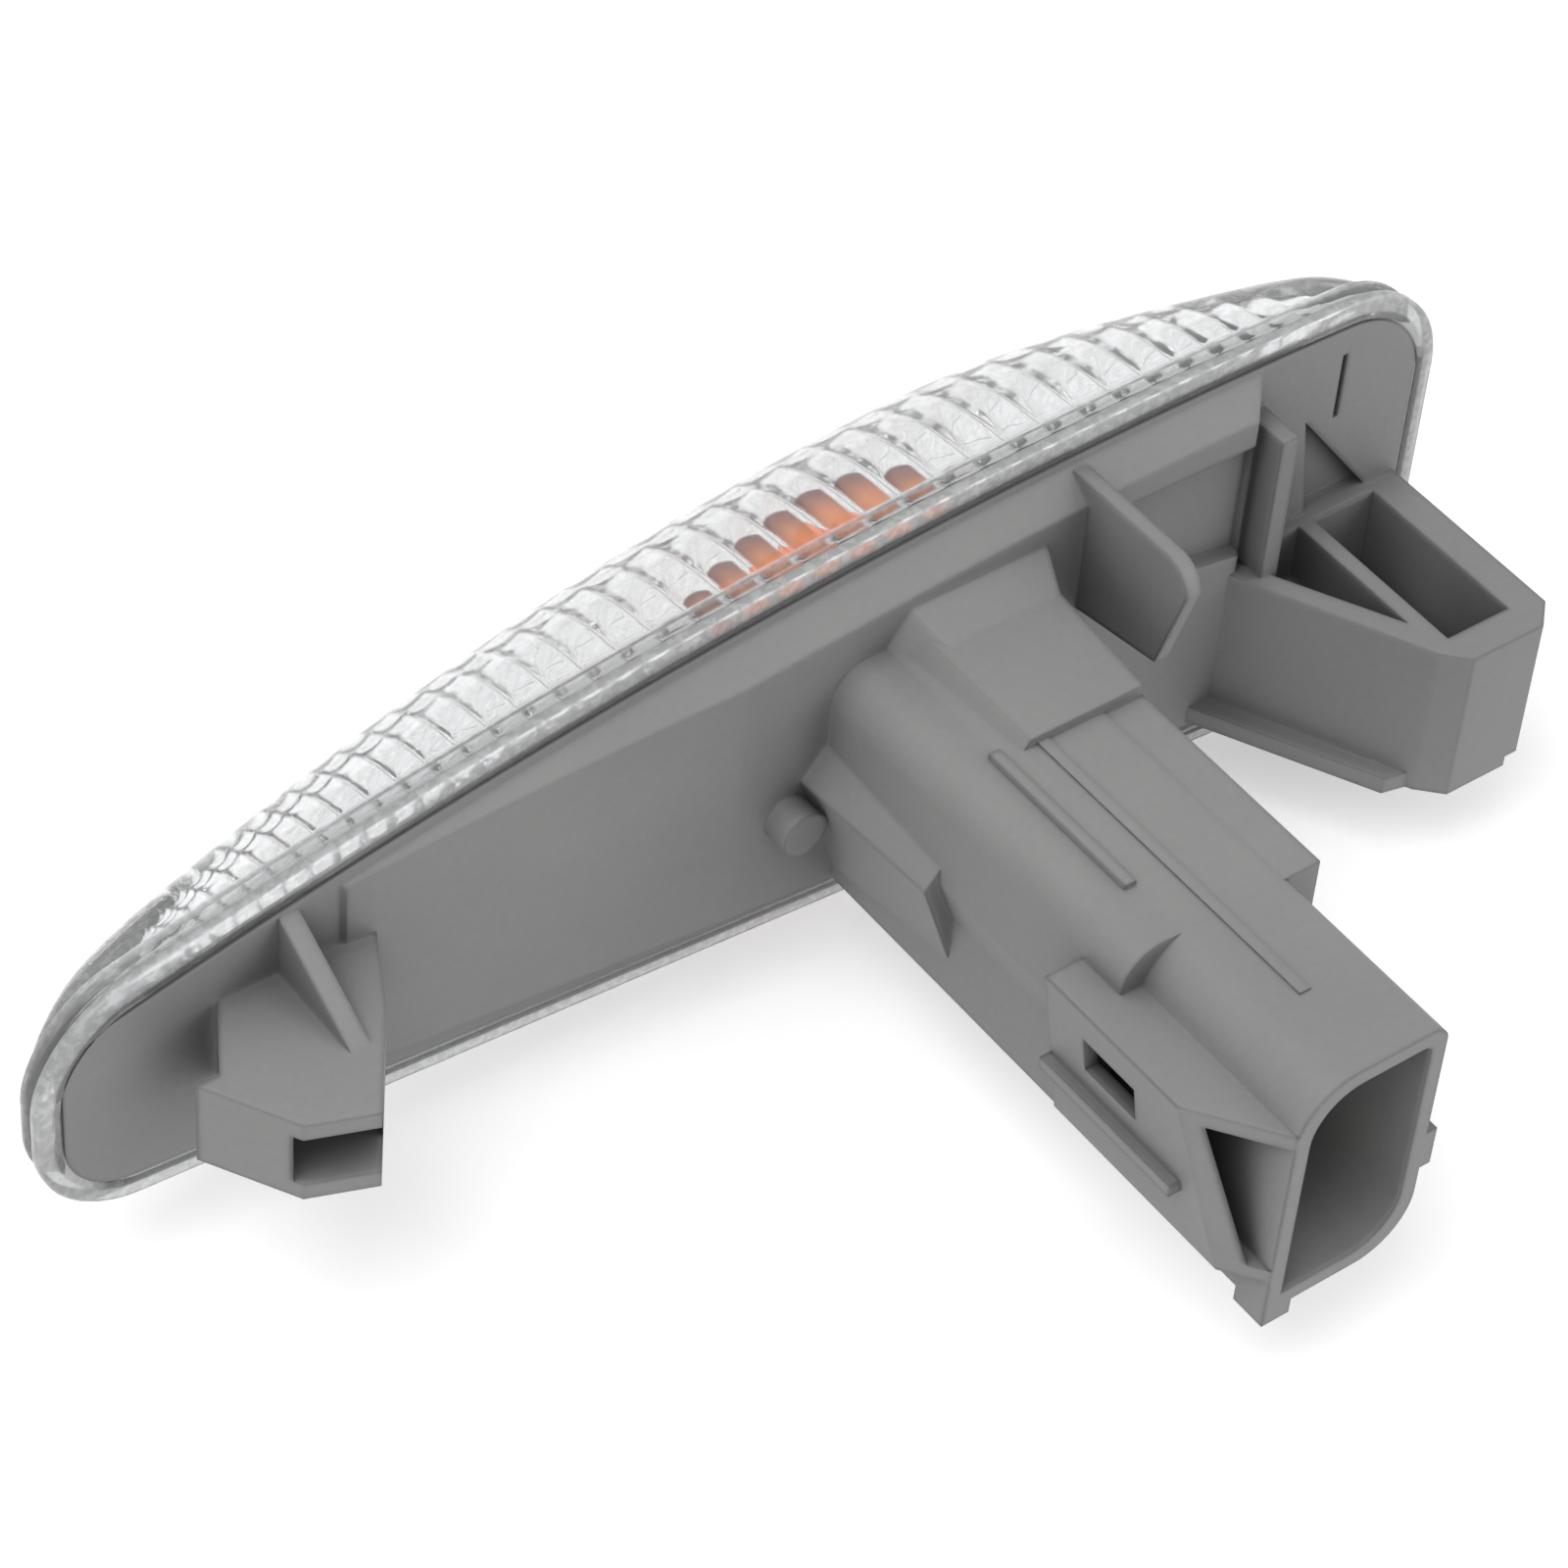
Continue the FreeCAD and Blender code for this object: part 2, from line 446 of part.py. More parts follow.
def dome_section(x, grow, inset, back, steps):
    """The dome's cross-section at a place along the lamp: a squarish half oval closed by a straight base."""
    top, low = outline_heights(x, grow - inset)
    depth = dome_depth(x, grow) - inset
    points = []
    for step in range(steps + 1):
        angle = math.pi * step / steps
        across = math.copysign(abs(math.cos(angle)) ** SECTION_POWER, math.cos(angle))
        height = (top + low) / 2 + (top - low) / 2 * across
        points.append(Vector(x, -back - (depth - back) * abs(math.sin(angle)) ** SECTION_POWER, height))
    return Part.makePolygon(points + points[:1])


def build_lens():
    """The clear lens: rim round the flange, domed wall, and flutes across the inside of the dome."""
    body = doc.addObject("PartDesign::Body", "lens_rim")
    outline_plate(body, "rim_plate", "rim_thick", "rim_thick", "rim_wide")
    seat = doc.addObject("PartDesign::Body", "flange_seat")
    outline_plate(seat, "seat_plate", "flange_thick", "flange_thick + overcut", "fit")
    grow = size("rim_wide - foot_step")
    nose, tail = size("nose_x + lens_end_step"), size("tail_x - lens_end_step")
    shares = [(1 - math.cos(math.pi * step / (OUTER_STATIONS - 1))) / 2 for step in range(OUTER_STATIONS)]
    places = [tail + (nose - tail) * share for share in shares]
    outside = [dome_section(x, grow, 0.0, size("flange_thick"), OUTER_STEPS) for x in places]
    dome = doc.addObject("Part::Feature", "dome_form")
    dome.Shape = Part.makeLoft(outside, True, True)
    cavity = doc.addObject("Part::Feature", "flute_form")
    cavity.Shape = Part.makeLoft(flute_sections(nose, tail, grow), True, True)
    solid = doc.addObject("Part::Fuse", "lens_solid")
    solid.Base, solid.Tool = body, dome
    hollow = doc.addObject("Part::Fuse", "lens_hollow")
    hollow.Base, hollow.Tool = seat, cavity
    lens = doc.addObject("Part::Cut", "lens")
    lens.Base, lens.Tool = solid, hollow
    doc.recompute()
    return lens


def flute_sections(nose, tail, grow):
    """Sections of the dome's inside, deeper and shallower in turn: the walls between them are flutes."""
    wall = size("lens_wall")
    first, last = tail + wall, nose - wall
    count = 2 * round((last - first) / size("flute_pitch"))
    sections = []
    for step in range(count + 1):
        x = first + (last - first) * step / count
        inset = wall + (size("flute_high") if step % 2 else 0.0)
        sections.append(dome_section(x, grow, inset, size("flute_back"), INNER_STEPS))
    return sections


def build_bulb():
    """The wedge bulb: a hollow glass turned about its axis, a pinched flat base and holes for its leads."""
    outer = [("0", "-bulb_tip"), ("bulb_tip_wide", "-bulb_tip + bulb_tip_rise"),
             ("bulb_round", "-bulb_tip + bulb_shoulder"), ("bulb_round", "bulb_neck - bulb_neck_long"),
             ("bulb_neck_wide", "bulb_neck"), ("0", "bulb_neck")]
    inner = [("0", "-bulb_tip + glass_wall"),
             ("bulb_tip_wide - glass_wall", "-bulb_tip + bulb_tip_rise + glass_wall"),
             ("bulb_round - glass_wall", "-bulb_tip + bulb_shoulder + glass_wall"),
             ("bulb_round - glass_wall", "bulb_neck - bulb_neck_long"),
             ("bulb_neck_wide - glass_wall", "bulb_neck - glass_wall * 2"),
             ("0", "bulb_neck - glass_wall * 2")]
    body = doc.addObject("PartDesign::Body", "bulb_glass")
    turn(body, "envelope", sketch(body, "envelope_sketch", "XY_Plane", "0", [outer]),
         "PartDesign::Revolution")
    base = rectangle("-base_wide / 2", "-base_thick / 2", "base_wide / 2", "base_thick / 2")
    pad(body, "base", sketch(body, "base_sketch", "XZ_Plane", "-bulb_neck + wall", [base]),
        "base_end - bulb_neck + wall", True)
    turn(body, "hollow", sketch(body, "hollow_sketch", "XY_Plane", "0", [inner]), "PartDesign::Groove")
    for side in ("lead_gap / 2", "-lead_gap / 2"):
        name = "lead_hole_upper" if side.startswith("lead") else "lead_hole_lower"
        hole = circle(body, name + "_sketch", "XZ_Plane", "-base_end - overcut", side, "0",
                      "lead_round + fit")
        pocket(body, name, hole, "base_end - bulb_neck + glass_wall * 4", True)
    return place_at_bulb(body)


def place_at_bulb(item):
    """Move a piece from the origin to the bulb's place, bound to the sheet."""
    for axis, text in (("x", "bulb_x"), ("y", "-bulb_out"), ("z", "bulb_z")):
        item.setExpression("Placement.Base." + axis, cells(text))
    doc.recompute()
    return item


def turn(body, name, drawing, kind):
    """Turn a half profile about the bulb's axis."""
    planes = {feature.Role: feature for feature in body.Origin.OriginFeatures}
    feature = body.newObject(kind, name)
    feature.Profile = drawing
    feature.ReferenceAxis = (planes["Y_Axis"], [""])
    feature.Angle = 360
    doc.recompute()
    return feature


def build_filament():
    """The filament: a thin straight coil between the two leads."""
    coil = doc.addObject("Part::Cylinder", "filament")
    coil.setExpression("Radius", cells("filament_round"))
    coil.setExpression("Height", cells("lead_gap - 2 * lead_round"))
    coil.setExpression("Placement.Base.x", cells("bulb_x - lead_gap / 2 + lead_round"))
    coil.setExpression("Placement.Base.y", cells("filament_y - bulb_out"))
    coil.setExpression("Placement.Base.z", cells("bulb_z"))
    coil.Placement.Rotation = FreeCAD.Rotation(Vector(0, 0, 1), Vector(1, 0, 0))
    return coil


def build_lead(name, side):
    """One lead: from the filament through the pinched base, folded back along the base's flat."""
    start, turn_y = "filament_y - lead_round", "base_end + lead_round + fit"
    fold_z = "base_thick / 2 + lead_round + fit"
    x = "lead_gap / 2"
    pieces = [
        rod(name + "_through", side, x, start, "0", (0, 1, 0), turn_y + " + lead_round - (" + start + ")"),
        rod(name + "_across", side, x, turn_y, "0", (0, 0, 1), "base_thick / 2 + 2 * lead_round + fit"),
        rod(name + "_fold", side, x, turn_y + " + lead_round", fold_z, (0, -1, 0), "lead_fold"),
    ]
    lead = doc.addObject("Part::MultiFuse", name)
    lead.Shapes = pieces
    return place_at_bulb(lead)


def rod(name, side, x, y, z, direction, length):
    """A round wire from a point in a direction; side -1 turns both half way round the bulb's axis."""
    wire = doc.addObject("Part::Cylinder", name)
    wire.setExpression("Radius", cells("lead_round"))
    wire.setExpression("Height", cells(length))
    for axis, text in (("x", "%d * (%s)" % (side, x)), ("y", y), ("z", "%d * (%s)" % (side, z))):
        wire.setExpression("Placement.Base." + axis, cells(text))
    half_turn = FreeCAD.Rotation(Vector(0, 1, 0), 0 if side > 0 else 180)
    wire.Placement.Rotation = half_turn.multiply(FreeCAD.Rotation(Vector(0, 0, 1), Vector(*direction)))
    return wire


def build_terminal(name, side):
    """One contact: a strip on the bulb's folded lead that jogs outwards and ends as a bevelled blade."""
    touch = "(base_thick / 2 + 2 * lead_round + 2 * fit)"
    mid = "blade_gap / 2"
    half = "blade_thick / 2"
    upper = [("contact_start", touch), ("contact_end", touch), ("jog_end", mid + " - " + half),
             ("blade_tip + bulb_out - tip_bevel", mid + " - " + half), ("blade_tip + bulb_out", mid),
             ("blade_tip + bulb_out - tip_bevel", mid + " + " + half),
             ("jog_end - blade_thick", mid + " + " + half),
             ("contact_end - blade_thick", touch + " + blade_thick"),
             ("contact_start", touch + " + blade_thick")]
    loop = [(y, "%d * (%s)" % (side, z)) for y, z in upper]
    body = doc.addObject("PartDesign::Body", name)
    drawing = sketch(body, name + "_sketch", "YZ_Plane", "-blade_wide / 2", [loop])
    pad(body, name + "_strip", drawing, "blade_wide")
    return place_at_bulb(body)


def write_parts(nodes):
    """Check the document, then write each sub-part to its own file."""
    doc.recompute()
    for item in doc.Objects:
        if "Invalid" in item.State or "Error" in item.State:
            raise RuntimeError("%s is %s" % (item.Name, item.State))
    os.makedirs("parts", exist_ok=True)
    for name, item in nodes.items():
        item.Label = name
        if item.Shape.isNull() or not item.Shape.isValid():
            raise RuntimeError(name + " has no valid shape")
        item.Shape.exportStep("parts/%s.step" % name)
        box = item.Shape.BoundBox
        print("%-18s solids %d volume %9.1f box %s" % (name, len(item.Shape.Solids), item.Shape.Volume, box))


write_parts({
    "housing": build_housing(),
    "lens": build_lens(),
    "bulb_glass": build_bulb(),
    "bulb_filament": build_filament(),
    "bulb_lead_left": build_lead("bulb_lead_left", 1),
    "bulb_lead_right": build_lead("bulb_lead_right", -1),
    "terminal_upper": build_terminal("terminal_upper", 1),
    "terminal_lower": build_terminal("terminal_lower", -1),
})
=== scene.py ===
"""Side indicator lamp: looks of the clear fluted lens, the amber bulb and the moulded grey housing."""
import bmesh
import bpy
import numpy as np
from mathutils import Matrix, Vector


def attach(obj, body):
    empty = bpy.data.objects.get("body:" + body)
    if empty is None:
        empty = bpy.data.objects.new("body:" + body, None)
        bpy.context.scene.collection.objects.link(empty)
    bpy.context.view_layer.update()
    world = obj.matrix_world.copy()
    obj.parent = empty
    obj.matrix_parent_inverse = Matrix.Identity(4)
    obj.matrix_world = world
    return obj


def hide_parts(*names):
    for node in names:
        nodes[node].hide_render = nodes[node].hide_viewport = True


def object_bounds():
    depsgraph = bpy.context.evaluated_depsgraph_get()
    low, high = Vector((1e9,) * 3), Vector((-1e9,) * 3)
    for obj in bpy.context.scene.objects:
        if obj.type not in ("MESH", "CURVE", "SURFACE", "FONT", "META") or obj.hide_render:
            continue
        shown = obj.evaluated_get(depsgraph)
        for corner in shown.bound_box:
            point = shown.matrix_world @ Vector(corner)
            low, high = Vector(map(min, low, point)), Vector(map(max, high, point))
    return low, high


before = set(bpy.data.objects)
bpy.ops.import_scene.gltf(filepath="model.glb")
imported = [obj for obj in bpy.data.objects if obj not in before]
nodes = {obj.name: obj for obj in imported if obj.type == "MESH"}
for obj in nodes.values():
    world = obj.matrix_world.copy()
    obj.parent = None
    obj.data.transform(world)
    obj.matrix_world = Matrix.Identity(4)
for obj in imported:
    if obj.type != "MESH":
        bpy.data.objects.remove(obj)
cad_box = [[float(value) for value in corner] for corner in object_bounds()]

# Shapes are in millimetres, in the part's frame: X to the nose, Y to the back, Z up.
# Points nearer than WELD are one point.
MM = 0.001
WELD = 0.00001

# Outline of the lamp seen from behind.
NOSE_X, TAIL_X = 71.3, -54.0
NOSE_TOP, NOSE_LOW, TAIL_TOP, TAIL_LOW = 5.6, -9.8, 19.0, -20.3
TOP_ROUND, NOSE_ROUND, TAIL_ROUND, TOP_LIMIT, LOW_LIMIT = 410.0, 6.0, 8.0, 21.84, -21.63

# Lens: rim, foot of the dome, depth along the lamp and wall.
RIM_GROW, RIM_THICK, FOOT_GROW = 2.2, 3.0, 1.0
DEEP, DEEP_X, FALL_NOSE, FALL_TAIL, END_ROUND, CROWN_POWER = 19.36, -14.7, 109.0, 54.0, 12.2, 1.75
SECTION_POWER = 2 / 2.7
WALL, FLANGE_THICK, FIT = 2.0, 2.0, 0.05

# Flutes along the lamp, and pillows round the crown from a share of the dome's rise on.
FLUTES, FLUTE_STEPS, FLUTE_HIGH, FLUTE_LAW = 46, 8, 0.26, (0.299, -0.287, -0.247)
END_FLUTES, END_STEPS, END_FADE, END_LIP = 2, 8, 0.03, 0.3
ROUND_STEPS, PILLOWS, PILLOW_HIGH, PILLOW_START, PILLOW_FULL = 96, 15, 0.22, 0.62, 0.8

# Rim from the dome's foot round to the flange: reach past the outline, place before the seat, paleness (low
# where shade is painted in the groove and where the rim meets the seat).
RIM_PROFILE = (
    (FOOT_GROW + 0.15, 2.95, 0.9), (1.75, 2.9, 0.9), (1.95, 2.7, 0.9), (1.95, 2.3, 0.5), (1.5, 2.1, 0.1),
    (1.5, 1.3, 0.1), (2.0, 1.1, 0.3), (RIM_GROW, 0.9, 0.8), (RIM_GROW, 0.25, 1.0), (1.95, 0.0, 1.0),
    (1.0, 0.0, 0.9), (0.75, 0.0, 0.15), (0.3, 0.0, 0.05), (FIT, 0.25, 0.0), (FIT, FLANGE_THICK, 0.0))
NO_FLUTE, RIM_MARK = 0.5, -1.0

# Bulb: place of its axis; tip, full round, neck and pinched base along it; the flute that shows it best.
BULB_X, BULB_Z = -2.6, 4.5
BULB_ROUND, BULB_TIP, SHOULDER, NECK, BASE_START, BASE_END = 5.1, -15.4, 5.0, -0.4, 4.2, 11.2
BASE_WIDE, BASE_THICK, GLASS, HOLLOW_SHORT, BULB_FLUTE = 4.3, 1.1, 0.5, 1.6, 16.8
BULB_SIDES, TIP_ANGLE, TIP_STEPS, BODY_STEPS, ROUND_POWER, BASE_POWER = 72, 0.02, 24, 60, 2, 5

# Filament: a coil of wire between the leads.
FILAMENT_Y, COIL_LONG, COIL_ROUND, WIRE_ROUND = -7.4, 4.4, 0.24, 0.05
COIL_TURNS, TURN_STEPS, WIRE_SIDES = 20, 20, 8

# Housing: greys of the moulding, painted shade in its recesses, coating, grain and soft edges; lengths here
# are in metres.
HOUSING_DARK, HOUSING_PALE, HOLLOW_SHADE, COAT_TONE = 0.2, 0.295, 0.096, 0.9
COAT_FACING, COAT_END = (0.4, 0.5), (0.0007, 0.0008)
CLOUD_SCALE, SPECK_SCALE, SPECK_SHARE = 55.0, 1500.0, 0.3
HOLLOW_REACH, HOLLOW_RAMP, EDGE_SOFT, GRAIN_DEEP, GRAIN_STRONG = 0.008, (0.15, 0.85), 0.0008, 0.0002, 0.12
SATIN, SATIN_CLOUD, SATIN_COAT, RAY_SAMPLES = 0.5, 0.12, 0.3, 4

# Lens material: where rim, crown, nose and the painted shade lines between flutes begin and end, and how
# milky each is.
RIM_RAMP, CROWN_RAMP, NOSE_RAMP, LINE_RAMP = (-0.6, -0.2), (0.3, 0.62), (0.05, 0.066), (0.455, 0.49)
MOTTLE_SCALE, MOTTLE_RAMP = 1300.0, (0.44, 0.6)
FROST, FROST_CROWN, FROST_MOTTLE, FROST_LINE, FROST_RIM, FROST_NOSE = 0.08, 0.02, 0.12, 0.5, 0.5, 0.3
CLEAR_TINT, CLEAR_ROUGH, CROWN_ROUGH, LENS_INDEX = (0.975, 0.985, 0.99, 1.0), 0.03, 0.06, 1.47
# The milk's darkest grey is painted shade in the rim's groove and where the rim meets the seat, and the
# mottle reaches a little towards it; the line grey is painted shade in the valleys between flutes.
MILK_PALE, MILK_COOL, MILK_DARK_AND_SHADE, LINE_SHADE, MILK_ROUGH, MILK_MOTTLE = 0.86, -0.012, 0.1, 0.3, 0.35, 0.25

# The bulb's amber image painted into the flutes: an arch's height, its fall to tail and nose and across a
# flute. Its colours are painted light, dark at the top and bright lower down.
ARCH_HIGH, ARCH_FALL, ARCH_TAIL, ARCH_NOSE, ARCH_ROUND, ARCH_FROST = 0.52, 0.31, 0.38, 0.2, 0.34, 0.9
ARCH_EDGE, ARCH_SIDE, ARCH_HEIGHT, ARCH_FOOT = (0.0, 0.03), (0.32, 0.42), (0.003, 0.005), (0.08, 0.16)
GLOW_RAMP, GLOW_SIDE = (0.0, 0.3), 0.6
ARCH_DARK, ARCH_BRIGHT = (0.16, 0.025, 0.01, 1.0), (1.0, 0.27, 0.04, 1.0)

# Bulb glass and metal.
TIP_RAMP, TIP_TINT, GLASS_TINT = (-0.0152, -0.0118), (0.42, 0.07, 0.02, 1.0), (1.0, 0.27, 0.03, 1.0)
GLASS_ROUGH, GLASS_INDEX, GLASS_CLEAR, GLASS_GLOW = 0.15, 1.45, 0.3, 0.22
MARK_SCALE, MARK_ROUGH = 900.0, 0.15

# Floor, surroundings, lights and camera, in metres and watts.
FLOOR_TONE, FLOOR_LIFT, FLOOR_ROUGH, FLOOR_SHEEN = 0.86, 0.42, 0.9, 0.1
WORLD_LIGHT, WORLD_SIDE, WORLD_TOP, WORLD_RAMP = 0.5, 0.92, 1.12, (-0.1, 0.5)
FLOOR_GAP, FLOOR_HALF = 0.0004, 4.0
LIGHT_WIDE, KEY_POWER, FILL_POWER = 0.5, 3.1, 1.25
KEY_PLACE, KEY_TARGET = (0.35, 0.1, 0.7), (0.0, 0.0, 0.0)
FILL_PLACE, FILL_TARGET = (-0.5, 0.6, 0.35), (0.0, 0.02, 0.0)
CAMERA_PLACE = (0.19476, 0.22304, 0.28923)
CAMERA_RIGHT = (-0.80274, 0.59313, 0.06163)
CAMERA_UP = (-0.38602, -0.59564, 0.70442)
CAMERA_BACK = (0.45452, 0.54168, 0.70711)
CAMERA_LENS, CAMERA_SENSOR, CLIP_NEAR, CLIP_FAR = 123.75, 36.0, 0.01, 20.0


def smooth(low, high, value):
    """Smooth step: 0 below the low mark, 1 above the high mark, a cubic in between."""
    share = np.clip((value - low) / (high - low), 0.0, 1.0)
    return share * share * (3 - 2 * share)


def signed_power(value, power):
    """A power of a value's size, with the value's sign kept."""
    return np.sign(value) * np.abs(value) ** power


def mesh_object(name, points, quads, form=None):
    """An object at the origin from points in millimetres and rows of four corners, shaded smooth.

    Form holds three numbers a point for the material."""
    mesh = bpy.data.meshes.new(name)
    mesh.from_pydata((points * MM).tolist(), [], quads.tolist())
    if form is not None:
        attribute = mesh.attributes.new("form", "FLOAT_VECTOR", "POINT")
        attribute.data.foreach_set("vector", form.astype(np.float32).ravel())
    shell = bmesh.new()
    shell.from_mesh(mesh)
    bmesh.ops.remove_doubles(shell, verts=shell.verts, dist=WELD * MM)
    shell.to_mesh(mesh)
    shell.free()
    mesh.polygons.foreach_set("use_smooth", np.ones(len(mesh.polygons), bool))
    mesh.update()
    piece = bpy.data.objects.new(name, mesh)
    bpy.context.scene.collection.objects.link(piece)
    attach(piece, "root")
    return piece


def grid_quads(rows, columns, first=0, wrap=False, flip=False):
    """Corners of the cells of a rows by columns grid of points; wrap closes each row on itself."""
    last = columns if wrap else columns - 1
    row, column = np.meshgrid(np.arange(rows - 1), np.arange(last), indexing="ij")
    after = (column + 1) % columns
    here, beyond = row * columns, (row + 1) * columns
    corners = [here + column, here + after, beyond + after, beyond + column]
    quads = np.stack([corner.ravel() for corner in corners], axis=1) + first
    return quads[:, ::-1] if flip else quads


def corner_drop(reach, radius):
    """Fall of a rounded corner at a distance from its end: radius minus the height of a circle there."""
    inside = np.clip(radius - reach, 0.0, radius)
    return radius - np.sqrt(np.maximum(radius ** 2 - inside ** 2, 0.0))


def outline(x, grow):
    """Top and bottom edges at x, moved out by grow.

    A circular arc above and a straight line below, with round corners at both ends."""
    nose, tail = NOSE_X + grow, TAIL_X - grow
    radius = TOP_ROUND + grow
    chord = np.array([tail - nose, TAIL_TOP - NOSE_TOP])
    length = np.hypot(*chord)
    right = np.array([chord[1], -chord[0]]) / length
    middle = np.array([(nose + tail) / 2, (NOSE_TOP + TAIL_TOP) / 2 + grow])
    centre = middle - right * np.sqrt(radius ** 2 - length ** 2 / 4)
    top = centre[1] + np.sqrt(radius ** 2 - (x - centre[0]) ** 2)
    low = NOSE_LOW - grow + (nose - x) / (nose - tail) * (TAIL_LOW - NOSE_LOW)
    drop = np.maximum(corner_drop(nose - x, NOSE_ROUND + grow), corner_drop(x - tail, TAIL_ROUND + grow))
    return np.minimum(top - drop, TOP_LIMIT), np.maximum(low + drop, LOW_LIMIT)


def dome_depth(x):
    """Depth of the dome at x: a power of the distance from the crown, and a quarter circle at each end."""
    ends = np.minimum(NOSE_X + FOOT_GROW - x, x - TAIL_X + FOOT_GROW) / END_ROUND
    rounding = np.sqrt(1 - (1 - np.clip(ends, 0.0, 1.0)) ** 2)
    away = x - DEEP_X
    depth = DEEP * (1 - np.abs(away / np.where(away > 0, FALL_NOSE, FALL_TAIL)) ** CROWN_POWER)
    return RIM_THICK + (depth - RIM_THICK) * rounding


def stations():
    """Places along the lamp from 0 to 1, and the count of flutes up to them.

    Steps are equal in each flute and finer, by a cosine, at both round ends. A polynomial that keeps both
    ends in place makes the flutes narrower towards the nose."""
    even = np.linspace(0.0, 1.0, FLUTES * FLUTE_STEPS + 1)
    end = END_FLUTES * FLUTE_STEPS
    fine = even[end] * (1 - np.cos(np.linspace(0.0, np.pi / 2, end + END_STEPS)))
    even = np.concatenate([fine, even[end + 1:-end - 1], 1 - fine[::-1]])
    odd = 1 - 2 * even
    share = even + even * (1 - even) * (FLUTE_LAW[0] + FLUTE_LAW[1] * odd + FLUTE_LAW[2] * odd ** 2)
    return share, even * FLUTES


def edge_ring(front, share, angle, grow):
    """One closed ring of the outline at depth front: top, nose, bottom and tail, in the grids' order."""
    tail, nose = TAIL_X - grow, NOSE_X + grow
    x = tail + (nose - tail) * share
    top, low = outline(x, grow)
    across = (1 + signed_power(np.cos(angle[1:-1]), SECTION_POWER)) / 2
    nose_z = low[-1] + (top[-1] - low[-1]) * across
    tail_z = low[0] + (top[0] - low[0]) * across
    xs = np.concatenate([x, np.full(len(across), nose), x[::-1], np.full(len(across), tail)])
    zs = np.concatenate([top, nose_z, low[::-1], tail_z[::-1]])
    return np.stack([xs, np.full(len(xs), -front), zs], axis=1)


def grid_edge(rows, columns, first):
    """Numbers of a grid's outer points in the order of edge_ring."""
    number = np.arange(rows * columns).reshape(rows, columns) + first
    return np.concatenate([number[:, 0], number[-1, 1:-1], number[::-1, -1], number[0, 1:-1][::-1]])


def lens_surface(share, flutes, angle, inside):
    """Skin of the dome, and its flute count, rise and paleness at each point.

    At each x it is a squarish half oval: height by a power of the cosine and depth by one of the sine.
    The inside lies one wall further in, with parabolic flutes along the lamp and cosine pillows round
    the crown."""
    grow = FOOT_GROW - (WALL if inside else 0.0)
    back = FLANGE_THICK if inside else RIM_THICK
    tail, nose = TAIL_X - grow, NOSE_X + grow
    share, phase = share[:, None], flutes[:, None]
    x = tail + (nose - tail) * share + np.zeros_like(angle)[None, :]
    sine, cosine = np.abs(np.sin(angle))[None, :], np.cos(angle)[None, :]
    stretched = TAIL_X - FOOT_GROW + (NOSE_X - TAIL_X + 2 * FOOT_GROW) * share
    depth = dome_depth(stretched) + 0 * x
    top, low = outline(x, grow)
    half = (top - low) / 2
    rise = sine ** SECTION_POWER
    if inside:
        row = np.floor(phase)
        flute = FLUTE_HIGH * (1 - (2 * (phase - row) - 1) ** 2)
        wave = 0.5 - 0.5 * np.cos(2 * PILLOWS * angle[None, :] + np.pi * row)
        pillow = PILLOW_HIGH * smooth(PILLOW_START, PILLOW_FULL, rise) * wave
        ends = smooth(0.0, END_FADE, share) * smooth(0.0, END_FADE, 1 - share)
        bulge = (flute + pillow) * ends
        depth = np.maximum(depth - WALL - bulge, back + END_LIP * ends)
        half = half - bulge * np.abs(cosine)
    z = (top + low) / 2 + half * signed_power(cosine, SECTION_POWER)
    y = -back - (depth - back) * rise
    count = phase if inside else NO_FLUTE
    form = np.stack([count + 0 * x, rise + 0 * x, 1 + 0 * x], axis=2)
    return np.stack([x, y, z], axis=2).reshape(-1, 3), form.reshape(-1, 3)


def make_lens():
    """The lens as one closed skin: dome outside, rim with a groove, seat round the flange, fluted inside."""
    share, flutes = stations()
    angle = np.linspace(0.0, np.pi, ROUND_STEPS + 1)
    rows, columns = len(share), len(angle)
    outside, outside_form = lens_surface(share, flutes, angle, False)
    inside, inside_form = lens_surface(share, flutes, angle, True)
    rings = [edge_ring(front, share, angle, grow) for grow, front, pale_and_shade in RIM_PROFILE]
    ring = len(rings[0])
    ring_form = np.repeat([(NO_FLUTE, RIM_MARK, pale_and_shade) for grow, front, pale_and_shade in RIM_PROFILE], ring, axis=0)
    count = rows * columns
    loops = [grid_edge(rows, columns, 0)]
    loops += [2 * count + ring * step + np.arange(ring) for step in range(len(rings))]
    loops.append(grid_edge(rows, columns, count))
    quads = [grid_quads(rows, columns), grid_quads(rows, columns, count, flip=True)]
    for near, far in zip(loops[:-1], loops[1:]):
        quads.append(np.stack([near, np.roll(near, -1), np.roll(far, -1), far], axis=1))
    points = np.concatenate([outside, inside] + rings)
    form = np.concatenate([outside_form, inside_form, ring_form])
    return mesh_object("lens_clear", points, np.concatenate(quads), form)


def bulb_rows(inset):
    """Half width, half thickness, squareness and place of the bulb's sections from tip to base."""
    tip = BULB_TIP + inset
    cap = tip + (SHOULDER - inset) * (1 - np.cos(np.linspace(TIP_ANGLE, np.pi / 2, TIP_STEPS)))
    end = BASE_END if inset == 0 else BASE_START - HOLLOW_SHORT
    y = np.concatenate([cap, np.linspace(cap[-1], end, BODY_STEPS)[1:]])
    reach = np.clip((BULB_TIP + SHOULDER - y) / (SHOULDER - inset), 0.0, 1.0)
    full = (BULB_ROUND - inset) * np.sqrt(1 - reach ** 2)
    pinch = smooth(NECK, BASE_START, y)
    wide = full + (BASE_WIDE - inset - full) * pinch
    thick = full + (BASE_THICK - inset / 2 - full) * pinch
    return wide, thick, ROUND_POWER + (BASE_POWER - ROUND_POWER) * pinch, y


